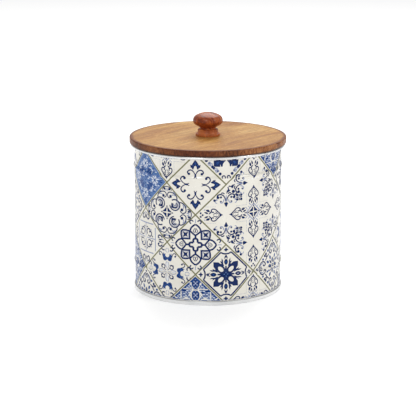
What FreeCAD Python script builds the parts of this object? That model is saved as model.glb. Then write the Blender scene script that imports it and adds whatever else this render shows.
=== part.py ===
import FreeCAD, Part
import math
import os
from collections import namedtuple

import Sketcher

# A round tinplate storage tin with a wooden lid. Millimetres, +Z up, origin on the floor under the
# centre of the tin. The seamed base rests on the floor, and the lock seam of the wall is at +Y.

DIMENSIONS = {
    # Tinplate wall, rolled rim and beads
    "wall_radius": 65.74,
    "tinplate": 0.28,
    "tin_height": 133.35,
    "curl_radius": 1.4,
    "curl_reach": 69.2,
    "flare_rise": 5.0,
    "high_bead_level": 113.3,
    "low_bead_level": 26.0,
    "bead_half_width": 2.8,
    "bead_depth": 0.9,
    # Double seam between the wall and the base plate
    "seam_height": 3.8,
    "seam_gap": 0.05,
    "seam_corner": 0.6,
    "body_hook_top": 3.0,
    "cover_hook_tip": 1.0,
    # Base plate
    "panel_level": 3.2,
    "panel_corner": 1.1,
    "ring_radius": 50.0,
    "ring_half_width": 3.0,
    "ring_depth": 0.8,
    # Lock seam down the back of the wall
    "lock_foot": 4.4,
    "lock_depth": 0.4,
    "lock_angle": 4.4,
    "lock_line_depth": 0.1,
    "lock_line_angle": 0.3,
    # Wooden lid
    "lid_gap": 0.1,
    "board_radius": 70.0,
    "board_thickness": 5.5,
    "board_top_round": 1.0,
    "board_foot_round": 0.7,
    "plug_radius": 62.0,
    "plug_thickness": 8.0,
    "plug_foot_round": 1.0,
    "groove_level": 1.7,
    "groove_width": 4.4,
    "groove_depth": 2.2,
    # Silicone ring
    "seal_reach": 64.7,
    "seal_clearance": 0.1,
    "lip_pitch": 2.2,
    "lip_offset": 0.9,
    "lip_root": 0.45,
    "lip_tip": 0.3,
    "lip_rise": 0.3,
    # Screw and washer that hold the knob
    "screw_hole_radius": 2.0,
    "counterbore_radius": 5.6,
    "counterbore_depth": 4.5,
    "washer_radius": 5.0,
    "washer_thickness": 1.0,
    "head_radius": 3.6,
    "head_height": 2.4,
    "head_round": 1.3,
    "screw_length": 20.0,
    "screw_core_radius": 1.2,
    "thread_radius": 1.75,
    "thread_pitch": 1.3,
    "screw_point": 2.2,
    "recess_arm": 2.0,
    "recess_half_width": 0.45,
    "recess_depth": 1.3,
    # Turned wooden knob
    "foot_radius": 10.95,
    "foot_height": 2.1,
    "foot_under_round": 0.4,
    "foot_round": 0.8,
    "cove_foot_radius": 9.9,
    "cove_top_radius": 8.9,
    "cove_bend": 5.0,
    "collar_radius": 9.2,
    "collar_level": 4.8,
    "collar_round": 1.3,
    "neck_round": 0.85,
    "knob_radius": 13.35,
    "knob_under_round": 4.4,
    "knob_side_round": 5.05,
    "pilot_radius": 1.8,
    "pilot_depth": 11.5,
    "pilot_point": 1.0,
}

THREAD_TURNS = 9
ROOT_HALF = math.sqrt(0.5)
CROWN_START = math.radians(60)
UNDER_SLOPE = math.radians(30)
LEFT = 1
RIGHT = -1

Corner = namedtuple("Corner", "x y bend turn", defaults=(None, None))


class Size:
    """A length held as its number and as the spreadsheet expression that drives it."""

    def __init__(self, value, text):
        self.value = value
        self.text = text

    def joined(self, sign, other, value):
        text = other.text if isinstance(other, Size) else repr(other)
        return Size(value, f"({self.text} {sign} {text})")

    def __add__(self, other):
        return self.joined("+", other, self.value + number(other))

    def __sub__(self, other):
        return self.joined("-", other, self.value - number(other))

    def __mul__(self, other):
        return self.joined("*", other, self.value * number(other))

    def __truediv__(self, other):
        return self.joined("/", other, self.value / number(other))


def number(size):
    return size.value if isinstance(size, Size) else size


def make_sheet(document):
    """Write the driving dimensions to the sheet and return each one as a Size."""
    sheet = document.addObject("Spreadsheet::Sheet", "Dimensions")
    sizes = {}
    for row, (alias, value) in enumerate(DIMENSIONS.items(), start=1):
        sheet.set(f"A{row}", alias)
        sheet.set(f"B{row}", str(value))
        sheet.setAlias(f"B{row}", alias)
        sizes[alias] = Size(value, f"Dimensions.{alias}")
    return namedtuple("Sizes", sizes)(**sizes)


document = FreeCAD.newDocument("StorageTin")
size = make_sheet(document)
document.recompute()


# Drawing and turning


def arc(start, end, radius, turn):
    """The short arc from start to end that turns left or right."""
    chord = end - start
    rise = math.sqrt(radius**2 - chord.Length**2 / 4)
    across = FreeCAD.Vector(-chord.y, chord.x, 0).normalize()
    centre = start + chord * 0.5 + across * rise * turn
    first, last = (start, end) if turn == LEFT else (end, start)
    opening = math.atan2(first.y - centre.y, first.x - centre.x)
    closing = math.atan2(last.y - centre.y, last.x - centre.x)
    if closing < opening:
        closing += 2 * math.pi
    return Part.ArcOfCircle(Part.Circle(centre, FreeCAD.Vector(0, 0, 1), radius), opening, closing)


def bind(sketch, kind, *where_and_size):
    """Add a constraint whose last argument is a Size, and drive it from the sheet."""
    *where, length = where_and_size
    index = sketch.addConstraint(Sketcher.Constraint(kind, *where, length.value))
    sketch.setExpression(f"Constraints[{index}]", length.text)


def draw(body, name, role, corners):
    """Draw a closed outline on an origin plane of the body, each corner fixed from the sheet.

    A corner is (x, y), reached by a straight line, or (x, y, radius, turn), reached by an arc.
    """
    sketch = body.newObject("Sketcher::SketchObject", name)
    plane = next(item for item in body.Origin.OriginFeatures if item.Role == role)
    sketch.AttachmentSupport = [(plane, "")]
    sketch.MapMode = "FlatFace"
    corners = [Corner(*corner) for corner in corners]
    points = [FreeCAD.Vector(number(corner.x), number(corner.y), 0) for corner in corners]
    for index, corner in enumerate(corners):
        start, end = points[index - 1], points[index]
        if corner.bend is None:
            sketch.addGeometry(Part.LineSegment(start, end))
        else:
            sketch.addGeometry(arc(start, end, corner.bend.value, corner.turn))
    for index, corner in enumerate(corners):
        following = (index + 1) % len(corners)
        tail = 1 if corner.turn == RIGHT else 2
        head = 2 if corners[following].turn == RIGHT else 1
        sketch.addConstraint(Sketcher.Constraint("Coincident", index, tail, following, head))
        for kind, place, axis in (("DistanceX", corner.x, -2), ("DistanceY", corner.y, -1)):
            if isinstance(place, Size):
                bind(sketch, kind, -1, 1, index, tail, place)
            else:
                sketch.addConstraint(Sketcher.Constraint("PointOnObject", index, tail, axis))
        if corner.bend is not None:
            bind(sketch, "Radius", index, corner.bend)
    return sketch


def turn_profile(body, sketch, name, kind="PartDesign::Revolution", angle=None):
    """Turn a profile round the vertical axis: a full turn, or an angle centred on its plane."""
    feature = body.newObject(kind, name)
    feature.Profile = sketch
    feature.ReferenceAxis = (sketch, ["V_Axis"])
    feature.Angle = 360
    if angle is not None:
        feature.Midplane = True
        feature.setExpression("Angle", angle.text)
    return feature


def add_piece(label, level=None):
    """A body for one sub-part, standing at its own level above the floor."""
    body = document.addObject("PartDesign::Body", label)
    body.Label = label
    if level is not None:
        body.setExpression("Placement.Base.z", level.text)
    return body


def bead(radius, middle, half, depth, way):
    """Corners of a smooth outward bead on a wall, met going up (way 1) or down (way -1)."""
    bend = (half * half + depth * depth) / (depth * 4)
    reach = radius + depth / 2
    return [
        (radius, middle - half * way),
        (reach, middle - half * way / 2, bend, -way),
        (reach, middle + half * way / 2, bend, way),
        (radius, middle + half * way, bend, -way),
    ]


def swapped(corners):
    """The same corners with the two axes exchanged, which also exchanges left and right."""
    corners = [Corner(*corner) for corner in corners]
    return [(c.y, c.x) if c.bend is None else (c.y, c.x, c.bend, -c.turn) for c in corners]


# Levels and radii that several pieces share

wall_inside = size.wall_radius - size.tinplate
fold_outside = (size.tinplate * 3 + size.seam_gap * 2) / 2
fold_inside = (size.tinplate + size.seam_gap * 2) / 2
fold_level = size.tinplate + size.seam_gap + fold_outside
cover_hook_inside = size.wall_radius + size.seam_gap
body_hook_inside = cover_hook_inside + size.tinplate + size.seam_gap
curl_centre = size.curl_reach - size.curl_radius
curl_level = size.tin_height - size.curl_radius
flare_level = curl_level - size.flare_rise
board_level = size.tin_height + size.lid_gap
plug_level = board_level - size.plug_thickness
washer_level = plug_level + size.counterbore_depth - size.washer_thickness


# The tin


def wall_beads(radius, way):
    """Corners of both beads of the wall, met going up (way 1) or down (way -1)."""
    levels = (size.low_bead_level, size.high_bead_level)[::way]
    return [
        corner
        for level in levels
        for corner in bead(radius, level, size.bead_half_width, size.bead_depth, way)
    ]


def make_body_shell():
    """Tinplate wall: hooked under the base seam at its foot, beaded, flared and curled at its mouth."""
    body = add_piece("body_shell")
    curl_inside = size.curl_radius - size.tinplate
    flare = curl_centre - curl_inside - size.wall_radius
    flare_bend = (size.flare_rise * size.flare_rise + flare * flare) / (flare * 4)
    flare_middle = flare_level + size.flare_rise / 2
    hook_outside = body_hook_inside + size.tinplate
    outline = [
        (body_hook_inside, size.body_hook_top),
        (body_hook_inside, fold_level),
        (body_hook_inside - fold_inside, fold_level - fold_inside, fold_inside, RIGHT),
        (size.wall_radius, fold_level, fold_inside, RIGHT),
        *wall_beads(size.wall_radius, 1),
        (size.wall_radius, flare_level),
        (size.wall_radius + flare / 2, flare_middle, flare_bend, RIGHT),
        (size.wall_radius + flare, curl_level, flare_bend, LEFT),
        (curl_centre, curl_level + curl_inside, curl_inside, RIGHT),
        (curl_centre + curl_inside, curl_level, curl_inside, RIGHT),
        (curl_centre, curl_level - curl_inside, curl_inside, RIGHT),
        (curl_centre - curl_inside * ROOT_HALF, curl_level - curl_inside * ROOT_HALF, curl_inside, RIGHT),
        (curl_centre - size.curl_radius * ROOT_HALF, curl_level - size.curl_radius * ROOT_HALF),
        (curl_centre, curl_level - size.curl_radius, size.curl_radius, LEFT),
        (size.curl_reach, curl_level, size.curl_radius, LEFT),
        (curl_centre, size.tin_height, size.curl_radius, LEFT),
        (curl_centre - size.curl_radius, curl_level, size.curl_radius, LEFT),
        (wall_inside + flare / 2, flare_middle, flare_bend, RIGHT),
        (wall_inside, flare_level, flare_bend, LEFT),
        *wall_beads(wall_inside, -1),
        (wall_inside, fold_level),
        (wall_inside + fold_outside, fold_level - fold_outside, fold_outside, LEFT),
        (hook_outside, fold_level, fold_outside, LEFT),
        (hook_outside, size.body_hook_top),
    ]
    turn_profile(body, draw(body, "wall_profile", "XZ_Plane", outline), "wall")
    add_lock_seam(body)
    return body


def add_lock_seam(body):
    """Two more layers of tinplate inside the wall at the back, and the fine line they leave outside."""
    layers_outside = wall_inside + size.tinplate / 2
    layers_inside = wall_inside - size.lock_depth
    layers = [
        (layers_outside, size.lock_foot),
        *wall_beads(layers_outside, 1),
        (layers_outside, flare_level),
        (layers_inside, flare_level),
        *wall_beads(layers_inside, -1),
        (layers_inside, size.lock_foot),
    ]
    sketch = draw(body, "lock_seam_profile", "YZ_Plane", layers)
    turn_profile(body, sketch, "lock_seam", angle=size.lock_angle)

    line_floor = size.wall_radius - size.lock_line_depth
    line_outside = size.wall_radius + size.bead_depth * 2
    line = [
        (line_floor, size.lock_foot),
        *wall_beads(line_floor, 1),
        (line_floor, flare_level),
        (line_outside, flare_level),
        (line_outside, size.lock_foot),
    ]
    sketch = draw(body, "lock_line_profile", "YZ_Plane", line)
    turn_profile(body, sketch, "lock_line", "PartDesign::Groove", size.lock_line_angle)


def make_base_plate():
    """Pressed bottom: recessed panel with a stiffening ring, chuck wall and the outer half of the seam."""
    body = add_piece("base_plate")
    chuck_outside = wall_inside - size.seam_gap
    chuck_inside = chuck_outside - size.tinplate
    seam_inside = body_hook_inside + size.tinplate + size.seam_gap
    seam_outside = seam_inside + size.tinplate
    seam_fold = (seam_inside - chuck_outside) / 2
    crest_level = size.seam_height - fold_outside
    cover_hook_outside = cover_hook_inside + size.tinplate
    panel_top = size.panel_level + size.tinplate
    under_corner = size.panel_corner - size.tinplate

    def ring(level, way):
        return swapped(bead(level, size.ring_radius, size.ring_half_width, size.ring_depth, way))

    outline = [
        (0, panel_top),
        *ring(panel_top, 1),
        (chuck_outside - size.panel_corner, panel_top),
        (chuck_outside, panel_top - size.panel_corner, size.panel_corner, RIGHT),
        (chuck_outside, fold_level),
        (chuck_outside + seam_fold, fold_level - seam_fold, seam_fold, LEFT),
        (seam_inside, fold_level, seam_fold, LEFT),
        (seam_inside, crest_level),
        (seam_inside - fold_inside, crest_level + fold_inside, fold_inside, LEFT),
        (cover_hook_outside, crest_level, fold_inside, LEFT),
        (cover_hook_outside, size.cover_hook_tip),
        (cover_hook_inside, size.cover_hook_tip),
        (cover_hook_inside, crest_level),
        (cover_hook_inside + fold_outside, size.seam_height, fold_outside, RIGHT),
        (seam_outside, crest_level, fold_outside, RIGHT),
        (seam_outside, size.seam_corner),
        (seam_outside - size.seam_corner, 0, size.seam_corner, RIGHT),
        (chuck_inside + size.seam_corner, 0),
        (chuck_inside, size.seam_corner, size.seam_corner, RIGHT),
        (chuck_inside, size.panel_level - under_corner),
        (chuck_inside - under_corner, size.panel_level, under_corner, LEFT),
        *ring(size.panel_level, -1),
        (0, size.panel_level),
    ]
    turn_profile(body, draw(body, "plate_profile", "XZ_Plane", outline), "plate")
    return body


# The lid


def make_lid_board():
    """Wooden disc that lies on the rolled rim, with its edges rounded over."""
    body = add_piece("lid_board", board_level)
    top, foot = size.board_top_round, size.board_foot_round
    outline = [
        (size.screw_hole_radius, 0),
        (size.board_radius - foot, 0),
        (size.board_radius, foot, foot, LEFT),
        (size.board_radius, size.board_thickness - top),
        (size.board_radius - top, size.board_thickness, top, LEFT),
        (size.screw_hole_radius, size.board_thickness),
    ]
    turn_profile(body, draw(body, "board_profile", "XZ_Plane", outline), "board")
    return body


def make_lid_plug():
    """Smaller disc under the board, grooved for the seal and counterbored for the screw's head."""
    body = add_piece("lid_plug", plug_level)
    foot = size.plug_foot_round
    groove_top = size.groove_level + size.groove_width
    groove_floor = size.plug_radius - size.groove_depth
    outline = [
        (size.counterbore_radius, 0),
        (size.plug_radius - foot, 0),
        (size.plug_radius, foot, foot, LEFT),
        (size.plug_radius, size.groove_level),
        (groove_floor, size.groove_level),
        (groove_floor, groove_top),
        (size.plug_radius, groove_top),
        (size.plug_radius, size.plug_thickness),
        (size.screw_hole_radius, size.plug_thickness),
        (size.screw_hole_radius, size.counterbore_depth),
        (size.counterbore_radius, size.counterbore_depth),
    ]
    turn_profile(body, draw(body, "plug_profile", "XZ_Plane", outline), "plug")
    return body


def make_seal_ring():
    """Silicone ring in the plug's groove, with two soft lips that reach towards the wall."""
    body = add_piece("seal_ring", plug_level + size.groove_level + size.seal_clearance)
    root = size.plug_radius - size.groove_depth + size.seal_clearance
    face = size.plug_radius + size.seal_clearance
    seal_height = size.groove_width - size.seal_clearance * 2
    outline = [(root, 0), (face, 0)]
    for lip in range(2):
        middle = size.lip_offset + size.lip_pitch * lip
        tip_level = middle + size.lip_rise
        outline += [
            (face, middle - size.lip_root),
            (size.seal_reach - size.lip_tip, tip_level - size.lip_tip),
            (size.seal_reach, tip_level, size.lip_tip, LEFT),
            (size.seal_reach - size.lip_tip, tip_level + size.lip_tip, size.lip_tip, LEFT),
            (face, middle + size.lip_root),
        ]
    outline += [(face, seal_height), (root, seal_height)]
    turn_profile(body, draw(body, "seal_profile", "XZ_Plane", outline), "seal")
    return body


def make_knob():
    """Turned knob: rounded foot, cove, collar, waisted neck and a flattened ball with a low crown."""
    body = add_piece("knob", board_level + size.board_thickness)
    collar_top = size.collar_level + size.collar_round
    neck_centre = size.collar_radius - size.collar_round
    neck_radius = neck_centre - size.neck_round
    neck_level = collar_top + size.neck_round
    # The neck opens into a low cone, which runs on into the rounded underside of the ball.
    sine, cosine = math.sin(UNDER_SLOPE), math.cos(UNDER_SLOPE)
    cone_foot_radius = neck_centre - size.neck_round * sine
    cone_foot_level = neck_level + size.neck_round * cosine
    under_centre = size.knob_radius - size.knob_under_round
    cone_top_radius = under_centre + size.knob_under_round * sine
    cone_top_level = cone_foot_level + (cone_top_radius - cone_foot_radius) * (sine / cosine)
    widest_level = cone_top_level + size.knob_under_round * cosine
    # The crown is one flat arc over the axis that meets the rounded side without an edge.
    side_centre = size.knob_radius - size.knob_side_round
    crown_bend = size.knob_side_round + side_centre / math.cos(CROWN_START)
    crown_radius = side_centre + size.knob_side_round * math.cos(CROWN_START)
    crown_level = widest_level + size.knob_side_round * math.sin(CROWN_START)
    crown_top = widest_level + crown_bend - (crown_bend - size.knob_side_round) * math.sin(CROWN_START)
    outline = [
        (size.pilot_radius, 0),
        (size.foot_radius - size.foot_under_round, 0),
        (size.foot_radius, size.foot_under_round, size.foot_under_round, LEFT),
        (size.foot_radius, size.foot_height - size.foot_round),
        (size.foot_radius - size.foot_round, size.foot_height, size.foot_round, LEFT),
        (size.cove_foot_radius, size.foot_height),
        (size.cove_top_radius, size.collar_level, size.cove_bend, RIGHT),
        (size.collar_radius, size.collar_level),
        (neck_centre, collar_top, size.collar_round, LEFT),
        (neck_radius, neck_level, size.neck_round, RIGHT),
        (cone_foot_radius, cone_foot_level, size.neck_round, RIGHT),
        (cone_top_radius, cone_top_level),
        (size.knob_radius, widest_level, size.knob_under_round, LEFT),
        (crown_radius, crown_level, size.knob_side_round, LEFT),
        (0, crown_top, crown_bend, LEFT),
        (0, size.pilot_depth + size.pilot_point),
        (size.pilot_radius, size.pilot_depth),
    ]
    turn_profile(body, draw(body, "knob_profile", "XZ_Plane", outline), "knob_turning")
    return body


def make_knob_washer():
    """Flat steel washer between the screw's head and the roof of the counterbore."""
    body = add_piece("knob_washer", washer_level)
    outline = [
        (size.screw_hole_radius, 0),
        (size.washer_radius, 0),
        (size.washer_radius, size.washer_thickness),
        (size.screw_hole_radius, size.washer_thickness),
    ]
    turn_profile(body, draw(body, "washer_profile", "XZ_Plane", outline), "washer")
    return body


def make_knob_screw():
    """Pan-head wood screw, head down, with a ridged thread, a point and a cross recess."""
    body = add_piece("knob_screw", washer_level - size.head_height)
    tip_level = size.head_height + size.screw_length
    thread_top = tip_level - size.screw_point
    thread_foot = thread_top - size.thread_pitch * THREAD_TURNS
    outline = [
        (0, 0),
        (size.head_radius - size.head_round, 0),
        (size.head_radius, size.head_round, size.head_round, LEFT),
        (size.head_radius, size.head_height),
        (size.thread_radius, size.head_height),
        (size.thread_radius, thread_foot - size.thread_pitch / 2),
    ]
    for ridge in range(THREAD_TURNS):
        valley = thread_foot + size.thread_pitch * ridge
        outline += [
            (size.screw_core_radius, valley),
            (size.thread_radius, valley + size.thread_pitch / 2),
        ]
    outline += [(size.screw_core_radius, thread_top), (0, tip_level)]
    turn_profile(body, draw(body, "screw_profile", "XZ_Plane", outline), "screw_blank")

    arm, half = size.recess_arm, size.recess_half_width
    quarter = [(arm, half), (half, half), (half, arm)]
    cross = []
    for x_way, y_way in ((1, 1), (-1, 1), (-1, -1), (1, -1)):
        corners = [(x * x_way, y * y_way) for x, y in quarter]
        cross += corners if x_way == y_way else corners[::-1]
    recess = body.newObject("PartDesign::Pocket", "cross_recess")
    recess.Profile = draw(body, "recess_outline", "XY_Plane", cross)
    recess.Reversed = True
    recess.setExpression("Length", size.recess_depth.text)
    return body


def check(document, pieces):
    """Stop if any object failed to compute or any piece is not one sound solid."""
    for item in document.Objects:
        if "Invalid" in item.State or "Error" in item.State:
            raise RuntimeError(f"{item.Label} failed: {item.State}")
        if item.TypeId == "Sketcher::SketchObject" and not item.FullyConstrained:
            raise RuntimeError(f"{item.Label} is not fully constrained")
    for piece in pieces:
        shape = piece.Shape
        if shape.isNull() or not shape.isValid() or len(shape.Solids) != 1:
            raise RuntimeError(f"{piece.Label} is not one sound solid")


pieces = [
    make_body_shell(),
    make_base_plate(),
    make_lid_board(),
    make_lid_plug(),
    make_seal_ring(),
    make_knob(),
    make_knob_washer(),
    make_knob_screw(),
]
document.recompute()
check(document, pieces)

os.makedirs("parts", exist_ok=True)
for piece in pieces:
    piece.Shape.exportStep(os.path.join("parts", f"{piece.Label}.step"))
    box = piece.Shape.optimalBoundingBox()
    print(f"{piece.Label}: volume {piece.Shape.Volume:.1f} mm3, z {box.ZMin:.2f} to {box.ZMax:.2f}")
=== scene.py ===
import math

import bpy
import numpy as np
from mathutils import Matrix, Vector
from mathutils.geometry import delaunay_2d_cdt


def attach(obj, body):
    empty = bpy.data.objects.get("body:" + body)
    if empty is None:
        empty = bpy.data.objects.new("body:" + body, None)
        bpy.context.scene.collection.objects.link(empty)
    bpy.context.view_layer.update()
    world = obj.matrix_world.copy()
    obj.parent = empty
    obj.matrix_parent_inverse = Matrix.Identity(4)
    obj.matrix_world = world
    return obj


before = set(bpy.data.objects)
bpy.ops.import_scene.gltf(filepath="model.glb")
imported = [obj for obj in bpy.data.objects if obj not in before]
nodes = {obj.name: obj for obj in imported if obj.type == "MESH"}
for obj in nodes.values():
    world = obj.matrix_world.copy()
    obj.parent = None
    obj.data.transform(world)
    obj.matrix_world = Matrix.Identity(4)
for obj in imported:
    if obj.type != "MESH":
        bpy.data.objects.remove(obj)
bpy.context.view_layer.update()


# Camera, floor and light

CAMERA_TARGET = (0.0001, 0, 0.07197)
CAMERA_DISTANCE = 1.5356
CAMERA_ELEVATION = math.radians(13.66)
CAMERA_LENS = 147.33
FLOOR_HALF = 8
FLOOR_GLOW = 0.40
WORLD_STRENGTH = 0.52


def look_at(thing, place, target):
    """Put a camera or a light at a place, facing a target."""
    thing.location = place
    thing.rotation_euler = (Vector(target) - Vector(place)).to_track_quat("-Z", "Y").to_euler()


def add_camera():
    """In front of the tin, looking down a little, through a long lens."""
    target = Vector(CAMERA_TARGET)
    away = Vector((0, -math.cos(CAMERA_ELEVATION), math.sin(CAMERA_ELEVATION)))
    place = target + CAMERA_DISTANCE * away
    data = bpy.data.cameras.new("camera")
    data.lens = CAMERA_LENS
    data.sensor_width = 36
    camera = bpy.data.objects.new("camera", data)
    bpy.context.scene.collection.objects.link(camera)
    look_at(camera, place, target)
    bpy.context.scene.camera = camera


def add_light(name, place, target, side, power):
    """A square soft light: its side in metres, its power in watts."""
    data = bpy.data.lights.new(name, "AREA")
    data.shape = "RECTANGLE"
    data.size = side
    data.size_y = side
    data.energy = power
    light = bpy.data.objects.new(name, data)
    bpy.context.scene.collection.objects.link(light)
    look_at(light, place, target)


def add_floor():
    """A pale matt sheet under the tin."""
    corners = [(-FLOOR_HALF, -FLOOR_HALF, 0), (FLOOR_HALF, -FLOOR_HALF, 0)]
    corners += [(FLOOR_HALF, FLOOR_HALF, 0), (-FLOOR_HALF, FLOOR_HALF, 0)]
    mesh = bpy.data.meshes.new("floor")
    mesh.from_pydata(corners, [], [(0, 1, 2, 3)])
    floor = bpy.data.objects.new("floor", mesh)
    bpy.context.scene.collection.objects.link(floor)
    paper = Shade("pale_paper", Roughness=0.9)
    paper.put("Specular IOR Level", 0.0)
    paper.put("Base Color", (0.8, 0.8, 0.8, 1))
    paper.put("Emission Color", (1, 1, 1, 1))
    paper.put("Emission Strength", FLOOR_GLOW)
    mesh.materials.append(paper.material)


def add_world():
    """Even white light from all round."""
    world = bpy.data.worlds.new("studio")
    world.use_nodes = True
    backdrop = world.node_tree.nodes["Background"]
    backdrop.inputs["Color"].default_value = (1, 1, 1, 1)
    backdrop.inputs["Strength"].default_value = WORLD_STRENGTH
    scene = bpy.context.scene
    scene.world = world
    scene.view_settings.view_transform = "Standard"
    scene.view_settings.look = "None"


# Materials


def srgb(red, green, blue):
    """A colour given as it looks, 0 to 255, as the linear values the shader takes."""
    def linear(value):
        value /= 255
        return value / 12.92 if value <= 0.04045 else ((value + 0.055) / 1.055) ** 2.4

    return (linear(red), linear(green), linear(blue), 1)


class Shade:
    """A node material with one Principled shader. Lengths inside it are millimetres."""

    def __init__(self, name, **sockets):
        self.material = bpy.data.materials.new(name)
        self.material.use_nodes = True
        self.tree = self.material.node_tree
        self.shader = self.tree.nodes["Principled BSDF"]
        for socket, value in sockets.items():
            self.put(socket.replace("_", " "), value)

    def put(self, socket, value):
        """Feed one of the shader's own sockets, by its name."""
        self.feed(self.shader.inputs[socket], value)

    def feed(self, socket, value):
        """Link a socket to a node's output, or set it to a value."""
        if isinstance(value, bpy.types.NodeSocket):
            self.tree.links.new(value, socket)
        else:
            socket.default_value = value

    def node(self, kind, inputs=None, **settings):
        """A new node with its settings and its inputs."""
        node = self.tree.nodes.new(kind)
        for key, value in settings.items():
            setattr(node, key, value)
        for key, value in (inputs or {}).items():
            self.feed(node.inputs[key], value)
        return node

    def place(self, scale=(1, 1, 1), turn=0.0, shift=(0, 0, 0)):
        """Millimetre coordinates on the object, turned about the vertical and then stretched."""
        metres = self.node("ShaderNodeTexCoord").outputs["Object"]
        enlarged = self.node("ShaderNodeVectorMath", {0: metres, "Scale": 1000.0}, operation="SCALE")
        turned = self.node("ShaderNodeMapping", {"Vector": enlarged.outputs[0], "Rotation": (0, 0, turn)})
        inputs = {"Vector": turned.outputs[0], "Scale": scale, "Location": shift}
        return self.node("ShaderNodeMapping", inputs).outputs[0]

    def noise(self, place, detail, roughness, distortion=0.0):
        """Smooth noise from 0 to 1, about one bump to each unit of the given coordinates."""
        inputs = {"Vector": place, "Scale": 1.0, "Detail": detail}
        inputs |= {"Roughness": roughness, "Distortion": distortion}
        return self.node("ShaderNodeTexNoise", inputs).outputs["Fac"]

    def ramp(self, factor, *stops):
        """Colours along a factor, each stop a position and a colour."""
        node = self.node("ShaderNodeValToRGB", {"Fac": factor})
        band = node.color_ramp
        while len(band.elements) < len(stops):
            band.elements.new(1.0)
        for element, (position, colour) in zip(band.elements, stops):
            element.position = position
            element.color = colour
        return node.outputs["Color"]

    def math(self, operation, *values):
        return self.node("ShaderNodeMath", dict(enumerate(values)), operation=operation).outputs[0]

    def mix(self, factor, first, second):
        """A colour between two others: all the first at 0, all the second at 1."""
        node = self.node("ShaderNodeMix", data_type="RGBA")
        self.feed(node.inputs[0], factor)
        self.feed(node.inputs[6], first)
        self.feed(node.inputs[7], second)
        return node.outputs[2]

    def span(self, value, low, high, out_low=0.0, out_high=1.0):
        """A value's range from low to high, stretched to another range and held at its ends."""
        inputs = {0: value, 1: low, 2: high, 3: out_low, 4: out_high}
        return self.node("ShaderNodeMapRange", inputs).outputs[0]

    def bump(self, height, depth):
        """Surface relief: height 0 to 1 stands for a depth in millimetres."""
        inputs = {"Height": height, "Distance": depth * 0.001, "Strength": 1.0}
        self.put("Normal", self.node("ShaderNodeBump", inputs).outputs[0])

    def axis_parts(self, place):
        """The three coordinates of a place, one by one."""
        return self.node("ShaderNodeSeparateXYZ", {0: place}).outputs


def paint(node, material):
    """Give a CAD node its material."""
    mesh = nodes[node].data
    mesh.materials.clear()
    mesh.materials.append(material)


def board_wood():
    """Varnished wood with its grain across the top, stained darker round the rim and on the sawn edge. The
    sawn edge also has painted light, lighter towards the right, and painted shade, near black along its foot
    and on the underside.
    """
    wood = Shade("board_wood")
    wood.put("Specular IOR Level", 0.22)
    grain_turn = math.radians(-50)
    figure = wood.noise(wood.place((0.012, 0.12, 0.05), grain_turn), 5.0, 0.55, 0.6)
    cloud = wood.noise(wood.place((0.016, 0.035, 0.02), grain_turn, (3, 7, 1)), 3.0, 0.5, 0.3)
    fibres = wood.noise(wood.place((0.03, 0.5, 0.3), grain_turn, (1, 4, 2)), 4.0, 0.7, 0.2)
    pores = wood.noise(wood.place((0.10, 2.2, 0.6), grain_turn), 3.0, 0.6)
    tan = wood.ramp(
        wood.math("ADD", wood.math("MULTIPLY", figure, 0.5), wood.math("MULTIPLY", cloud, 0.5)),
        (0.36, srgb(164, 106, 46)),
        (0.46, srgb(191, 137, 70)),
        (0.54, srgb(206, 156, 86)),
        (0.64, srgb(226, 184, 116)),
    )
    grained = wood.mix(wood.span(fibres, 0.36, 0.54, 0.6, 0.0), tan, srgb(150, 96, 46))
    grained = wood.mix(wood.span(pores, 0.30, 0.55, 0.25, 0.0), grained, srgb(134, 82, 42))
    specks = wood.noise(wood.place((0.35, 0.8, 0.5), grain_turn, (6, 2, 8)), 3.0, 0.7)
    grained = wood.mix(wood.span(specks, 0.36, 0.52, 0.3, 0.0), grained, srgb(140, 86, 42))
    grained = wood.mix(wood.span(specks, 0.54, 0.68, 0.0, 0.35), grained, srgb(232, 196, 138))
    parts = wood.axis_parts(wood.place())
    squares = [wood.math("POWER", part, 2.0) for part in parts[:2]]
    reach = wood.math("SQRT", wood.math("ADD", *squares))
    blotches = wood.noise(wood.place((0.12, 0.12, 0.12), 0.0, (9, 2, 5)), 4.0, 0.6)
    stain_reach = wood.math("ADD", reach, wood.math("MULTIPLY", blotches, 3.0))
    top = wood.mix(wood.span(stain_reach, 67.6, 69.9, 0.0, 0.95), grained, srgb(118, 62, 30))

    side_grain = wood.noise(wood.place((0.9, 0.9, 0.3)), 5.0, 0.75)
    patches = wood.noise(wood.place((0.045, 0.045, 0.02), 0.0, (11, 3, 0)), 2.0, 0.5)
    fine = wood.math("MULTIPLY", side_grain, 0.65)
    broad = wood.math("MULTIPLY", patches, 0.35)
    edge_tone = wood.math("ADD", fine, broad)
    stained = ((0.38, srgb(36, 12, 4)), (0.48, srgb(82, 35, 13)), (0.60, srgb(116, 61, 29)))
    # Painted light: the bare tones are lighter copies of the edge colour; the edge turns to them towards the
    # right, as if lit from that side, and a little towards the far left. The stained tones are the edge's
    # own stain.
    bare = ((0.38, srgb(82, 38, 14)), (0.48, srgb(146, 88, 46)), (0.60, srgb(196, 138, 86)))
    painted_light_right = wood.span(parts[0], 5.0, 42.0, 0.0, 0.85)
    paler_left = wood.span(parts[0], -20.0, -50.0, 0.0, 0.38)
    lit_right_paler_left = wood.math("MAXIMUM", painted_light_right, paler_left)
    edge = wood.mix(lit_right_paler_left, wood.ramp(edge_tone, *stained), wood.ramp(edge_tone, *bare))
    # Painted shade: the sawn edge darkens to near black along its foot, where the board sits over the tin's
    # rim.
    edge = wood.mix(wood.span(parts[2], 133.7, 134.8, 0.75, 0.0), edge, srgb(34, 14, 6))
    ring = wood.span(reach, 69.0, 69.7, 0.0, 1.0)
    # Painted shade: the underside of the board takes the edge colour, which is near black there.
    under = wood.span(parts[2], 133.7, 133.5, 0.0, 0.75)
    wood.put("Base Color", wood.mix(wood.math("MAXIMUM", ring, under), top, edge))
    wood.put("Roughness", wood.span(figure, 0.3, 0.7, 0.38, 0.52))
    wood.bump(pores, 0.05)
    return wood.material


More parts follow.
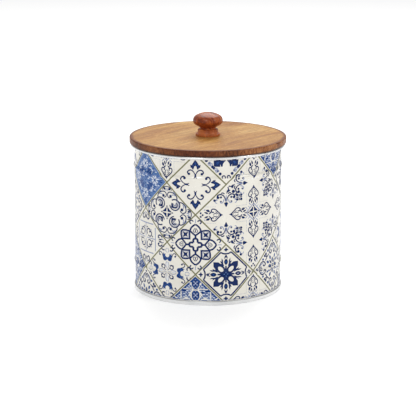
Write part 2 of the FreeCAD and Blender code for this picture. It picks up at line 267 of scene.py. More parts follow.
def plain_wood():
    """Unvarnished pale wood of the plug."""
    wood = Shade("plug_wood", Roughness=0.6)
    grain_turn = math.radians(-24)
    streaks = wood.noise(wood.place((0.012, 0.16, 0.05), grain_turn, (5, 1, 2)), 5.0, 0.55, 0.5)
    pores = wood.noise(wood.place((0.10, 2.2, 0.6), grain_turn), 3.0, 0.6)
    tan = wood.ramp(
        streaks,
        (0.3, srgb(196, 152, 104)),
        (0.5, srgb(214, 174, 126)),
        (0.7, srgb(224, 190, 146)),
    )
    wood.put("Base Color", wood.mix(wood.span(pores, 0.3, 0.55, 0.25, 0.0), tan, srgb(150, 104, 62)))
    wood.bump(pores, 0.05)
    return wood.material


def knob_wood():
    """Reddish-brown turned wood under a glossy varnish."""
    wood = Shade("knob_wood", Coat_Weight=0.12, Coat_Roughness=0.06)
    wood.put("Specular IOR Level", 0.3)
    rings = wood.noise(wood.place((0.10, 0.22, 0.06), 0.5, (2, 2, 4)), 6.0, 0.6, 1.6)
    pores = wood.noise(wood.place((0.5, 2.6, 0.4), 0.5), 3.0, 0.6)
    brown = wood.ramp(
        rings,
        (0.30, srgb(84, 28, 6)),
        (0.44, srgb(138, 57, 19)),
        (0.56, srgb(177, 89, 37)),
        (0.72, srgb(202, 122, 60)),
    )
    height = wood.axis_parts(wood.place())[2]
    brown = wood.mix(wood.span(height, 141.5, 146.0, 0.55, 0.0), brown, srgb(206, 116, 58))
    wood.put("Base Color", wood.mix(wood.span(pores, 0.30, 0.5, 0.45, 0.0), brown, srgb(70, 28, 12)))
    wood.put("Roughness", wood.span(rings, 0.3, 0.7, 0.34, 0.46))
    wood.bump(pores, 0.03)
    return wood.material


def tinplate(name):
    """Bright tinned steel, rolled, with a fine grain round the tin."""
    metal = Shade(name, Metallic=1.0)
    grain = metal.noise(metal.place((0.08, 0.08, 3.0)), 4.0, 0.6)
    cloud = metal.noise(metal.place((0.05, 0.05, 0.05)), 3.0, 0.5)
    metal.put("Base Color", metal.mix(metal.span(cloud, 0.3, 0.7), srgb(214, 215, 216), srgb(232, 232, 231)))
    metal.put("Roughness", metal.span(grain, 0.3, 0.7, 0.24, 0.38))
    metal.bump(grain, 0.01)
    return metal.material


def steel(name):
    """Zinc-plated steel of the screw and its washer."""
    metal = Shade(name, Metallic=1.0)
    cloud = metal.noise(metal.place((0.6, 0.6, 0.6)), 3.0, 0.5)
    metal.put("Base Color", metal.mix(metal.span(cloud, 0.3, 0.7), srgb(176, 178, 182), srgb(198, 199, 200)))
    metal.put("Roughness", metal.span(cloud, 0.3, 0.7, 0.25, 0.4))
    metal.bump(cloud, 0.02)
    return metal.material


def silicone():
    """Milky silicone of the seal."""
    rubber = Shade("silicone", Subsurface_Weight=0.15)
    rubber.put("Subsurface Scale", 0.002)
    dust = rubber.noise(rubber.place((0.4, 0.4, 0.4)), 4.0, 0.6)
    milky = rubber.mix(rubber.span(dust, 0.3, 0.7), srgb(226, 226, 222), srgb(236, 236, 233))
    rubber.put("Base Color", milky)
    rubber.put("Roughness", rubber.span(dust, 0.3, 0.7, 0.4, 0.55))
    rubber.bump(dust, 0.02)
    return rubber.material


def enamel():
    """Cream base coat of the print, under clear varnish."""
    coat = Shade("cream_enamel")
    coat.put("Specular IOR Level", 1.0)
    cloud = coat.noise(coat.place((0.06, 0.06, 0.06)), 4.0, 0.55)
    peel = coat.noise(coat.place((0.7, 0.7, 0.7)), 2.0, 0.5)
    cream = coat.mix(coat.span(cloud, 0.3, 0.7), srgb(225, 221, 209), srgb(232, 229, 219))
    coat.put("Base Color", cream)
    coat.put("Roughness", coat.span(cloud, 0.3, 0.7, 0.23, 0.28))
    coat.bump(peel, 0.006)
    return coat.material


NAVY, COBALT, BLUE, MIST, PALE, GROUT = "navy", "cobalt", "blue", "mist", "pale", "olive"
INK_COLOURS = {
    NAVY: srgb(2, 34, 88),
    COBALT: srgb(26, 68, 132),
    BLUE: srgb(84, 118, 172),
    MIST: srgb(138, 148, 180),
    PALE: srgb(206, 214, 226),
    GROUT: srgb(118, 118, 84),
}


def ink_paint(ink):
    """One printing ink under the clear varnish: its gloss and surface vary a little, its colour doesn't."""
    coat = Shade(f"{ink}_ink", Base_Color=INK_COLOURS[ink])
    coat.put("Specular IOR Level", 0.2)
    cloud = coat.noise(coat.place((0.06, 0.06, 0.06)), 4.0, 0.55)
    peel = coat.noise(coat.place((0.7, 0.7, 0.7)), 2.0, 0.5)
    coat.put("Roughness", coat.span(cloud, 0.3, 0.7, 0.24, 0.34))
    coat.bump(peel, 0.006)
    return coat.material


# Print: drawing. Points are complex numbers in millimetres, across and up the wall.

TILE = 26.7
LINE_PITCH = TILE / 10
LINE_WEIGHT = 1.35
MOTTLE_PITCH = 2.9
CURVE_PITCH, ARC_PITCH, DISC_PITCH = 0.9, 0.8, 0.7


def smooth(*points, closed=False):
    """Closely spaced points on a smooth curve through the given ones."""
    points = list(points)
    if closed:
        knots = [points[-1], *points, points[0], points[1]]
    else:
        knots = [2 * points[0] - points[1], *points, 2 * points[-1] - points[-2]]
    found = []
    for before, start, end, after in zip(knots, knots[1:], knots[2:], knots[3:]):
        count = max(2, round(abs(end - start) / CURVE_PITCH))
        t = np.arange(count) / count
        found.append(
            start
            + 0.5 * t * (end - before)
            + t * t * (before - 2.5 * start + 2 * end - 0.5 * after)
            + t**3 * (1.5 * (start - end) + 0.5 * (after - before))
        )
    if not closed:
        found.append(np.array([points[-1]]))
    return np.concatenate(found)


def arc(centre, radius, start, end):
    """Points along part of a circle, from one angle to another in degrees."""
    count = max(4, round(abs(math.radians(end - start)) * radius / ARC_PITCH))
    return centre + radius * np.exp(1j * np.radians(np.linspace(start, end, count + 1)))


def stroke(ink, path, width, end_width=None, closed=False):
    """A painted line along a path, as a chain of four-sided shapes, tapering to its end width."""
    path = np.array(path)
    steps = np.diff(np.append(path, path[0]) if closed else path)
    across = 1j * steps / abs(steps)
    before = across if closed else np.append(across, across[-1])
    after = np.roll(across, 1) if closed else np.append(across[0], across)
    meeting = np.maximum(1 + (before * after.conj()).real, 0.4)
    half = np.linspace(width, width if end_width is None else end_width, len(path)) / 2
    offset = (before + after) / meeting * half * LINE_WEIGHT
    left, right = path + offset, path - offset
    ends = range(-1 if closed else 0, len(path) - 1)
    pieces = [np.array([left[i], right[i], right[i + 1], left[i + 1]]) for i in ends]
    # Where a bend is tighter than the line is wide, the corners are put back in order.
    return [(ink, piece[np.argsort(np.angle(piece - piece.mean()))]) for piece in pieces]


def disc(ink, centre, radius):
    """A round dot."""
    count = max(7, round(2 * math.pi * radius / DISC_PITCH))
    return [(ink, centre + radius * np.exp(2j * math.pi * np.arange(count) / count))]


def patch(ink, *corners):
    """A shape with straight sides. Where the ink is None, the base coat shows."""
    return [(ink, np.array(corners))]


def blob(ink, *points):
    """A rounded shape through the given points."""
    return [(ink, smooth(*points, closed=True))]


def moved(shapes, shift):
    return [(ink, points + shift) for ink, points in shapes]


def mirrored(shapes):
    """The shapes and their mirror images in the horizontal axis."""
    return [(ink, flipped) for ink, points in shapes for flipped in (points, points.conj())]


def four(shapes):
    """The shapes at the four quarter turns about the middle of the tile."""
    return [(ink, points * 1j**quarter) for ink, points in shapes for quarter in range(4)]


def inside(shapes, reach=TILE, margin=0.9):
    """Only the shapes that lie within a tile on point."""
    return [s for s in shapes if (abs(s[1].real) + abs(s[1].imag)).max() < reach - margin]


# Print: tile designs, each drawn about its own middle


def fleur_tile():
    """Four sprigs of three leaves, each with a pair of curls, pointing at the corners."""
    sprig = stroke(NAVY, smooth(5.4 + 1.2j, 6.4 + 0.7j, 7.4 + 0.1j), 0.35, 0.8)
    curl = smooth(8.0 + 0j, 10.2 + 0.9j, 12.0 + 2.3j, 12.9 + 4.3j, 12.1 + 6.3j, 10.5 + 6.9j, 9.4 + 6.1j)
    sprig += stroke(NAVY, curl, 0.55, 0.95)
    sprig += disc(NAVY, 9.4 + 5.6j, 1.15)
    crown = [13.0 + 2.3j, 14.4 + 3.0j, 15.2 + 4.2j, 17.5 + 4.6j, 17.1 + 3.1j]
    crown += [18.4 + 2.5j, 19.9 + 1.6j, 21.9 + 0j]
    sprig += patch(NAVY, *crown, 16.7 + 0j, 15.8 + 1.0j, 14.3 + 1.3j)
    sprig += blob(COBALT, 16.2 + 1.6j, 16.6 + 2.6j, 17.6 + 1.9j, 17.0 + 1.2j)
    sprig = mirrored(sprig)
    sprig += blob(NAVY, 6.2 + 0j, 7.8 + 0.9j, 9.4 + 0j, 7.8 - 0.9j)
    sprig += blob(COBALT, 17.4 + 0j, 18.4 + 0.9j, 19.8 + 0j, 18.4 - 0.9j)
    return four(sprig)


def small_star(reach):
    """A dark diamond with a cream star of four thin points in it."""
    leaf = [0.12 + 0.12j, 0.86 + 0.06j, 0.78 + 0.24j, 0.50 + 0.46j, 0.46 + 0.50j, 0.24 + 0.78j, 0.06 + 0.86j]
    point = [0.84 + 0j, 1.0 + 0.14j, 1.2 + 0j, 1.0 - 0.14j]
    return four(patch(NAVY, *(reach * c for c in leaf))) + four(patch(NAVY, *(reach * c for c in point)))


def scroll_tile():
    """A small star among four rings, with scrolls growing towards the corners."""
    spiral = stroke(NAVY, arc(7.8 + 7.4j, 4.8, -175, 125), 0.75, 0.85)
    spiral += stroke(MIST, arc(7.8 + 7.4j, 3.7, -60, 70), 0.4)
    spiral += stroke(NAVY, arc(7.8 + 7.4j, 2.5, -215, 60), 1.5, 0.6)
    spiral += blob(NAVY, 4.3 + 4.9j, 6.4 + 4.3j, 8.4 + 5.0j, 6.6 + 6.0j, 5.8 + 7.9j, 4.6 + 6.8j)
    spiral += stroke(COBALT, arc(8.0 + 7.6j, 1.1, -200, 60), 0.5)
    hook = disc(NAVY, 14.6 + 3.7j, 1.35)
    curl = [13.0 + 2.9j, 14.0 + 1.2j, 16.2 + 0.6j, 18.2 + 2.2j]
    curl += [18.2 + 5j, 16.8 + 8.2j, 14.2 + 9.9j, 11.6 + 9.8j]
    hook += stroke(NAVY, smooth(*curl), 0.6, 0.75)
    hook += stroke(MIST, smooth(15.7 + 4.9j, 16.3 + 6.6j, 15.4 + 8.3j), 0.6)
    hook += stroke(MIST, smooth(18.9 + 6.0j, 18.2 + 7.4j, 17.2 + 8.4j), 0.5)
    hook += disc(NAVY, 20.9 + 2.4j, 1.1)
    hook += stroke(NAVY, smooth(19.6 + 4.5j, 21.6 + 3.9j, 22.8 + 1.8j, 23.1 + 0j), 0.6)
    hook += stroke(MIST, smooth(19.0 + 0.7j, 20.1 + 1.0j, 21.2 + 0.3j), 0.6)
    return small_star(5.4) + four(spiral) + four(mirrored(hook))


def petal_tile():
    """Eight outlined petals, pointed and square in turn, round an open cross."""
    petal = stroke(NAVY, smooth(8.3 + 0j, 10.1 + 2.4j, 12.3 + 4.8j), 1.1)
    petal += stroke(NAVY, smooth(12.3 + 4.8j, 14.8 + 3.9j, 16.8 + 2.1j, 18.2 + 0j), 1.1)
    petal += stroke(NAVY, arc(20.3 + 3.5j, 1.5, -80, 170), 0.7, 0.8)
    petal += stroke(NAVY, smooth(10.9 + 0.5j, 11.6 + 1.8j, 13.0 + 1.7j, 14.8 + 0.3j), 0.42)
    petal += stroke(NAVY, smooth(1.9 + 1.9j, 3.7 + 1.9j, 5.0 + 1.5j, 5.6 + 0j), 1.3)
    petal = mirrored(petal)
    petal += stroke(NAVY, [5.6 + 0j, 8.9 + 0j], 1.4, 0.9)
    petal += blob(NAVY, 6.7 + 0j, 7.6 + 0.9j, 8.5 + 0j, 7.6 - 0.9j)
    petal += blob(NAVY, 10.8 + 0j, 12.2 + 0.45j, 14.4 + 0j, 12.2 - 0.45j)
    petal += stroke(MIST, [19.4 + 0j, 22.8 + 0j], 0.5, 0.4)
    corner = [5.2 + 5.1j, 12.2 + 5.2j, 12.9 + 8.6j, 12.8 + 11.4j]
    corner += [12.1 + 12.1j, 11.4 + 12.8j, 8.6 + 12.9j, 5.1 + 12.2j]
    middle = 8.9 + 8.9j
    square = stroke(NAVY, corner, 1.05, closed=True)
    square += stroke(MIST, [middle + 0.72 * (c - middle) for c in corner], 0.3, closed=True)
    star = [-1.9 - 1.9j, -0.2 - 1.2j, 2.2 - 2.1j, 1.3 + 0j, 2.3 + 2.3j, 0 + 1.3j, -2.1 + 2.2j, -1.2 - 0.2j]
    square += patch(NAVY, *(middle + 1.15 * c for c in star))
    return four(petal) + four(square)


def bow_tile():
    """Four bows round a cross of thin leaves, with rings between them."""
    lobe = smooth(11.2 + 0j, 10.2 + 0.9j, 9.6 + 2.5j, 10.1 + 4.0j, 11.9 + 4.7j, 13.6 + 4.8j)
    prongs = [15.1 + 4.5j, 17.0 + 4.1j, 15.4 + 3.1j, 16.4 + 2.0j, 14.2 + 2.1j, 13.2 + 1.1j, 12.9 + 0j]
    bow = patch(COBALT, *lobe, *prongs)
    tail = smooth(13.4 + 4.7j, 15.4 + 5.3j, 16.9 + 6.5j, 16.9 + 8.1j, 15.5 + 8.9j, 14.3 + 8.2j)
    bow += stroke(NAVY, tail, 0.6, 0.5)
    bow += disc(NAVY, 14.4 + 8.0j, 0.85)
    bow += blob(NAVY, 10.8 + 1.8j, 10.9 + 3.4j, 12.4 + 3.9j, 12.2 + 2.4j)
    bow += stroke(MIST, smooth(3.4 + 0.8j, 5.2 + 1.6j, 7.6 + 1.3j, 9.0 + 0.5j), 0.4)
    bow += stroke(MIST, smooth(17.3 + 0.5j, 18.6 + 1.6j, 20.4 + 1.3j, 21.2 + 0.4j), 0.4)
    bow += stroke(NAVY, arc(20.6 + 4.2j, 1.6, -40, 230), 0.5, 0.9)
    bow = mirrored(bow)
    bow += blob(PALE, 4.6 + 0j, 6.6 + 0.5j, 8.6 + 0j, 6.6 - 0.5j)
    bow += stroke(MIST, [0.9 + 0j, 3.4 + 0j], 0.4)
    ring = stroke(NAVY, arc(4.4 + 4.2j, 1.75, -190, 150), 0.5, 0.9)
    ring += blob(NAVY, 5.0 + 5.0j, 6.3 + 4.8j, 6.4 + 6.2j, 5.2 + 6.2j)
    ring += stroke(NAVY, smooth(2.9 + 3.4j, 1.7 + 2.5j, 1.3 + 1.3j), 0.5, 0.35)
    return four(bow) + four(ring)


def framed_tile():
    """A dark flower of four broad petals with pale ovals in them, inside a drawn frame."""
    frame_line = stroke(NAVY, smooth(18.3 + 0j, 18.6 + 2.4j, 19.8 + 4.6j), 0.95)
    frame_line += stroke(NAVY, [19.8 + 4.6j, 12.2 + 12.2j], 0.95)
    leaf = [7.0 + 1.6j, 8.6 + 3.6j, 12.2 + 5.4j, 11.4 + 4.0j]
    leaf += [14.6 + 3.9j, 12.6 + 2.7j, 9.8 + 2.6j, 8.6 + 2.0j]
    bud = patch(NAVY, *leaf)
    bud += patch(NAVY, 13.4 + 1.5j, 15.0 + 1.6j, 15.9 + 0.7j, 14.6 + 0.9j)
    bud += patch(NAVY, 21.2 + 0j, 22.7 + 0j, 22.6 + 1.9j, 21.6 + 1.9j)
    bud = mirrored(frame_line + bud)
    bud += patch(NAVY, 20.0 + 0j, 21.6 + 1.1j, 22.9 + 0.8j, 24.5 + 0j, 22.9 - 0.8j, 21.6 - 1.1j)
    petal = [1.0 + 0.2j, 5.4 + 0.9j, 7.4 + 2.4j, 9.2 + 3.0j, 9.6 + 5.0j, 11.0 + 6.8j, 11.2 + 11.2j]
    flower = patch(NAVY, *petal, *(1j * c.conjugate() for c in petal[-2::-1]))
    oval = blob(None, 2.6 + 2.6j, 2.3 + 4.6j, 4.5 + 6.8j, 6.8 + 6.8j, 6.8 + 4.5j, 4.6 + 2.3j)
    halo = [7.2 + 0j, 9.4 + 2.1j, 11.6 + 2.5j, 13.3 + 1.7j, 13.3 - 1.7j, 11.6 - 2.5j, 9.4 - 2.1j]
    heart = blob(NAVY, 8.3 + 0j, 10.2 + 1.6j, 12.2 + 1.5j, 14.0 + 0j, 12.2 - 1.5j, 10.2 - 1.6j)
    heart += disc(COBALT, 11.0 + 0j, 0.85)
    heart += patch(NAVY, 14.4 + 0j, 16.0 + 1.3j, 17.7 + 0j, 16.0 - 1.3j)
    spokes = stroke(NAVY, [0 + 0j, 7.6 + 0j], 1.5, 0.9)
    core = disc(NAVY, 0, 2.7) + four(blob(BLUE, 0.7 + 0j, 1.5 + 0.4j, 2.4 + 0j, 1.5 - 0.4j))
    layers = [bud, flower, oval, blob(None, *halo), heart, spokes]
    return [shape for layer in layers for shape in four(layer)] + core


def spade_node():
    """A small star with four spades growing out of it, and dotted lines beside them."""
    heart = smooth(22.2 + 0.3j, 19.8 + 2.6j, 17.2 + 5.0j, 15.0 + 5.3j, 13.7 + 4.1j, 14.4 + 2.5j, 16.1 + 2.6j)
    spade = stroke(NAVY, heart, 0.72)
    spade += stroke(NAVY, smooth(20.2 + 0.6j, 18.7 + 1.9j, 17.4 + 3.1j), 0.42)
    spade += stroke(NAVY, smooth(18.4 + 0.9j, 17.1 + 1.5j, 15.4 + 0.6j), 0.5)
    spade += patch(NAVY, 11.4 + 0.4j, 13.2 + 1.5j, 14.6 + 3.6j, 12.4 + 2.6j)
    spade += blob(NAVY, 9.0 + 4.4j, 10.7 + 2.7j, 12.6 + 3.1j, 11.3 + 4.9j)
    spade += blob(NAVY, 7.6 + 2.6j, 9.3 + 1.1j, 11.2 + 1.2j, 9.8 + 2.6j)
    spade += stroke(MIST, smooth(8.6 + 4.9j, 7.4 + 4.1j, 6.6 + 2.8j), 0.5)
    for dash in range(8):
        spade += patch(MIST, *(7.4 + 1.35 * dash + 7.1j + c for c in (0, 0.6, 0.6 + 0.35j, 0.35j)))
    spade = mirrored(spade)
    spade += stroke(NAVY, [6.8 + 0j, 9.4 + 0j], 0.5, 0.6)
    spade += patch(NAVY, 20.4 + 0j, 21.7 + 1.3j, 24.0 + 0j, 21.7 - 1.3j)
    cage = stroke(MIST, [7.2 + 0.4j, 0.4 + 7.2j], 0.65)
    cage += stroke(MIST, [3.9 + 3.9j, 5.6 + 5.6j], 0.4)
    return small_star(5.5) + four(spade) + four(cage)


def curl_tile():
    """A thin crossed square with a ring of curls in it and a bud in each corner of the tile."""
    loop = smooth(2.4 + 3.2j, 1.6 + 5.6j, 2.6 + 7.8j, 5.2 + 8.2j, 6.2 + 6.6j, 5.0 + 5.4j)
    curl = stroke(NAVY, loop, 0.6, 0.9)
    curl += disc(NAVY, 2.0 + 9.6j, 0.8) + disc(MIST, 7.6 + 7.6j, 0.7)
    curl += stroke(MIST, [13.2 + 0j, 13.2 + 10.6j], 0.7) + stroke(MIST, [1.2 + 0j, 12.8 + 0j], 0.6)
    hook = smooth(24.6 + 0.4j, 22.2 + 2.6j, 19.6 + 4.8j, 17.4 + 4.6j, 16.8 + 2.9j, 18.2 + 2.2j)
    bud = stroke(NAVY, hook, 0.7, 0.9)
    bud += blob(NAVY, 17.0 + 0.5j, 19.0 + 1.7j, 21.4 + 1.5j, 19.6 + 0.4j)
    bud += blob(COBALT, 20.4 + 2.9j, 21.8 + 1.9j, 22.9 + 1.0j, 22.2 + 0.7j)
    return inside(four(mirrored(curl)) + four(mirrored(bud)), TILE, 1.2)


def snowflake():
    """Eight-armed rosette that straddles the edge of a large tile."""
    curl = smooth(15.0 + 0.5j, 12.6 + 0.9j, 10.0 + 2.3j, 8.6 + 4.9j, 9.5 + 7.4j, 11.3 + 7.7j)
    arm = stroke(NAVY, curl, 0.55, 1.0)
    arm += disc(NAVY, 11.4 + 7.2j, 1.3)
    arm += blob(NAVY, 10.2 + 4.2j, 11.6 + 3.6j, 12.2 + 5.0j, 10.9 + 5.7j)
    arm += stroke(MIST, smooth(13.0 + 2.0j, 14.8 + 2.5j, 16.2 + 3.6j, 15.9 + 5.0j, 14.7 + 5.2j), 0.6)
    arm += disc(NAVY, 14.9 + 4.6j, 0.75)
    arm += disc(MIST, 13.4 + 8.3j, 0.8)
    leaf = [2.1 + 2.1j, 2.6 + 1.0j, 4.2 + 1.6j, 5.6 + 0.5j, 8.4 + 0j]
    leaf += [6.9 + 1.5j, 6.2 + 3.2j, 5.0 + 3.8j, 4.6 + 2.6j]
    arm += patch(NAVY, *leaf)
    arm += stroke(NAVY, smooth(8.3 + 1.6j, 7.3 + 2.9j, 7.7 + 4.4j), 0.7)
    arm = mirrored(arm)
    arm += patch(NAVY, 15.4 + 0j, 16.4 + 1.9j, 18.2 + 1.1j, 20.3 + 0j, 18.2 - 1.1j, 16.4 - 1.9j)
    arm += stroke(MIST, [9.4 + 0j, 15.0 + 0j], 0.5, 0.8)
    corner = disc(NAVY, 6.5 + 6.5j, 1.5) + disc(NAVY, 9.1 + 9.1j, 1.0)
    for across in (-1.9, 1.9):
        for up in (-1.9, 1.9):
            corner += disc(NAVY, complex(12 + across, 12 + up), 1.2)
    corner += stroke(NAVY, [9.2 + 12j, 14.8 + 12j], 0.7) + stroke(NAVY, [12 + 9.2j, 12 + 14.8j], 0.7)
    corner += disc(PALE, 12 + 12j, 0.7)
    corner += stroke(MIST, smooth(14.6 + 9.8j, 16.0 + 9.2j, 16.4 + 7.9j), 0.5)
    corner += stroke(MIST, smooth(9.8 + 14.6j, 9.2 + 16.0j, 7.9 + 16.4j), 0.5)
    return four(arm) + four(corner)


def large_tile():
    """Four spades from the middle, four from the corners, and half a snowflake on each side."""
    reach = 2 * TILE
    trefoil = mirrored(disc(NAVY, 6.3 - reach + 0j, 0.9) + disc(NAVY, 4.6 - reach + 1.6j, 0.9))
    corner = [s for s in moved(spade_node(), -reach) if s[1].real.min() > 7 - reach] + trefoil
    side = moved(snowflake(), TILE + TILE * 1j)
    return inside(spade_node() + four(corner) + four(side), reach)


def medallion(centre):
    """Dark oval with a pale border and a small flower in it."""
    border = [-4.2 + 2.6j, -2.2 + 5.3j, 2.2 + 5.3j, 4.2 + 2.6j]
    border += [-c for c in border]
    oval = patch(None, *border) + patch(COBALT, *(0.80 * c for c in border))
    oval += four(blob(NAVY, 1.2 + 0.2j, 2.6 + 0.8j, 2.9 + 0j, 2.6 - 0.8j))
    oval += four(blob(MIST, 0.5 + 0.5j, 1.7 + 0.7j, 2.1 + 2.1j, 0.7 + 1.7j))
    oval += disc(PALE, 0, 0.6) + disc(MIST, 3.4j, 0.5) + disc(MIST, -3.4j, 0.5)
    return moved(oval, centre)


def mottling(edge, inks):
    """Small leaning dashes all over a tile on point, in an irregular order of inks."""
    dash = (-1.2 - 0.35j, 0.9 - 0.5j, 1.2 + 0.35j, -0.9 + 0.5j)
    dashes = []
    count = round(edge / MOTTLE_PITCH)
    for first in range(-count, count):
        for second in range(-count, count):
            ink = inks[(first * first * 3 + second * 5 + first * second * 7) % len(inks)]
            along = complex(first + second + 1, first - second) * MOTTLE_PITCH / 2
            if ink and abs(along.real) + abs(along.imag) < edge - MOTTLE_PITCH:
                dashes += patch(ink, *(along + c for c in dash))
    return dashes


def lattice_tile():
    """Two crossing chains of medallions in pale zigzags, with dense small dashes between them."""
    edge = TILE - 1.6
    shapes = patch(COBALT, edge + 0j, edge * 1j, -edge + 0j, -edge * 1j)
    shapes += mottling(edge, [PALE, PALE, NAVY, PALE, PALE, MIST, PALE])
    chain = stroke(None, [5.4 + 3.1j, 8.4 + 5.6j, 11.6 + 3.0j, 14.2 + 2.2j, 16.6 + 3.0j, 19.4 + 5.2j], 0.75)
    chain += stroke(None, [13.2 + 2.4j, 13.2 + 11.0j], 0.6)
    shapes += four(mirrored(chain)) + four(medallion(7.8j)) + four(medallion(18.6j))
    shapes += patch(None, 2.6 + 0j, 2.6j, -2.6 + 0j, -2.6j) + disc(NAVY, 0, 1.3)
    return shapes[:1] + inside(shapes[1:], edge, 0.3)


def mottled_tile():
    """Mid-blue ground with broken darker and lighter marks, pale rosettes and dark leaves."""
    edge = TILE - 1.3
    ground = patch(BLUE, edge + 0j, edge * 1j, -edge + 0j, -edge * 1j)
    marks = mottling(edge, [COBALT, MIST, None, COBALT, BLUE, None, COBALT, PALE])
    rosette = four(mirrored(blob(PALE, 1.0 + 0.2j, 2.9 + 0.3j, 4.2 + 1.4j, 2.6 + 1.9j)))
    rosette += four(blob(MIST, 1.2 + 1.2j, 2.9 + 1.8j, 3.2 + 3.2j, 1.8 + 2.9j)) + disc(COBALT, 0, 0.9)
    leaves = mirrored(blob(COBALT, 19.0 + 0.6j, 20.4 + 1.8j, 22.4 + 0.7j, 20.4 + 0.3j))
    leaves += mirrored(blob(COBALT, 4.6 + 3.4j, 7.2 + 6.8j, 10.8 + 6.0j, 8.4 + 3.0j))
    leaves += mirrored(stroke(PALE, smooth(5.2 + 10.2j, 8.4 + 9.4j, 11.4 + 7.6j), 0.5))
    return inside(ground + marks, TILE, 1.0) + four(moved(rosette, 13)) + four(leaves)


def scallop_tile():
    """Four dark swags with scalloped edges, hung with beads and links."""
    swag = [0.3 + 5.2j, 1.7 + 6.8j, 2.9 + 8.6j, 3.2 + 10.9j, 4.4 + 10.9j]
    swag += [5.1 + 8.8j, 6.6 + 8.6j, 8.6 + 9.4j, 10.8 + 10.4j]
    wing = patch(NAVY, *swag, 10.9 + 5.2j)
    wing += blob(COBALT, 5.8 + 6.3j, 7.8 + 6.6j, 9.4 + 8.3j, 7.6 + 7.6j)
    wing += disc(NAVY, 10.8 + 11.9j, 1.3) + disc(NAVY, 5.3 + 17.2j, 1.35) + disc(NAVY, 14.6 + 7.2j, 1.1)
    wing += disc(NAVY, 8.1 + 14.5j, 0.5) + disc(NAVY, 2.6 + 19.2j, 0.5)
    wing += stroke(MIST, arc(8.1 + 14.5j, 1.3, 0, 360), 0.5)
    wing += stroke(MIST, arc(13.2 + 8.8j, 1.2, 0, 360), 0.5)
    wing += stroke(NAVY, arc(2.2 + 20.2j, 1.4, -220, 40), 0.65)
    core = four(mirrored(blob(COBALT, 0.8 + 0.3j, 2.4 + 1.6j, 3.8 + 0.3j, 2.4 + 0.3j))) + disc(NAVY, 0, 1.0)
    upright = [(ink, 1j * points.conj()) for ink, points in mirrored(wing)]
    return inside(four(upright), TILE, 1.0) + core


def floral_tile():
    """Loose scrolls and leaves round a daisy."""
    curl = smooth(20.4 + 1.0j, 18.6 + 3.6j, 15.6 + 5.8j, 12.4 + 5.0j, 11.4 + 2.9j, 13.2 + 1.7j, 14.6 + 3.0j)
    scroll = stroke(NAVY, curl, 0.7, 1.0)
    scroll += stroke(MIST, smooth(18.4 + 2.4j, 16.4 + 4.0j, 14.2 + 4.2j), 0.6)
    scroll += blob(NAVY, 17.2 + 5.5j, 18.9 + 4.9j, 20.0 + 5.9j, 18.2 + 7.0j)
    scroll += blob(COBALT, 13.4 + 7.2j, 15.2 + 6.8j, 15.8 + 8.4j, 14.0 + 8.8j)
    scroll += stroke(NAVY, smooth(11.4 + 6.2j, 9.4 + 8.6j, 10.0 + 11.2j, 12.2 + 11.4j), 0.9, 0.5)
    scroll += disc(NAVY, 12.3 + 10.6j, 1.2)
    scroll += blob(COBALT, 5.8 + 3.0j, 8.4 + 3.0j, 9.6 + 5.2j, 7.0 + 5.2j)
    scroll += stroke(NAVY, smooth(16.2 + 1.0j, 17.8 + 1.6j, 19.4 + 0.6j), 0.6)
    scroll = mirrored(scroll)
    scroll += disc(NAVY, 22.2 + 0j, 1.2) + stroke(NAVY, [15.6 + 0j, 20.2 + 0j], 0.5)
    scroll += blob(NAVY, 2.2 + 0j, 4.6 + 1.6j, 7.2 + 0j, 4.6 - 1.6j)
    scroll += blob(BLUE, 3.6 + 0j, 4.8 + 0.6j, 5.9 + 0j, 4.8 - 0.6j)
    bud = blob(NAVY, 1.6 + 1.6j, 4.0 + 2.6j, 5.2 + 5.2j, 2.6 + 4.0j)
    return inside(four(scroll) + four(bud), TILE, 1.2) + disc(NAVY, 0, 1.4) + disc(PALE, 0, 0.6)


# Print: layout. Tiles stand on point; columns count across from the front one, rows up from the base.

WALL_RADIUS = 65.74
FIRST_ACROSS, FIRST_UP = -10.8, 1.5
PRINT_FOOT, PRINT_TOP = 4.4, 130.5
PRINT_LEFT = FIRST_ACROSS - 72 * LINE_PITCH
PRINT_RIGHT = FIRST_ACROSS + 81 * LINE_PITCH
BEAD_LEVELS, BEAD_HALF, BEAD_DEPTH = (26.0, 113.3), 2.8, 0.9
FLARE_FOOT, FLARE_HEIGHT, FLARE_REACH = 126.95, 5.0, 0.94
BEAD_STEPS = 6
BEAD_RISES = [BEAD_HALF * step / BEAD_STEPS for step in range(-BEAD_STEPS, BEAD_STEPS + 1)]
BEAD_ROWS = [level + rise for level in BEAD_LEVELS for rise in BEAD_RISES]
FLARE_ROWS = [FLARE_FOOT, 127.8, 128.6, 129.45, 130.0]
WALL_ROWS = [PRINT_FOOT, *BEAD_ROWS, *FLARE_ROWS, PRINT_TOP]
GROUT_WIDTH = 1.15
LARGE_TILES = [(2, 3), (-6, 3)]
TILE_ROWS = ["FRSKLHPBF", "KPLBRKFSP", "B*MDP*BHR", "**KS**PMF", "R*SMF*RPS", "HCBHCLHFC"]
DESIGNS = {
    "B": bow_tile,
    "C": scallop_tile,
    "D": curl_tile,
    "F": fleur_tile,
    "H": spade_node,
    "K": floral_tile,
    "L": lattice_tile,
    "M": mottled_tile,
    "P": petal_tile,
    "R": framed_tile,
    "S": scroll_tile,
}


def column_of(row, index):
    """Odd rows sit half a tile to the right of even ones."""
    return 2 * index - 8 + row % 2


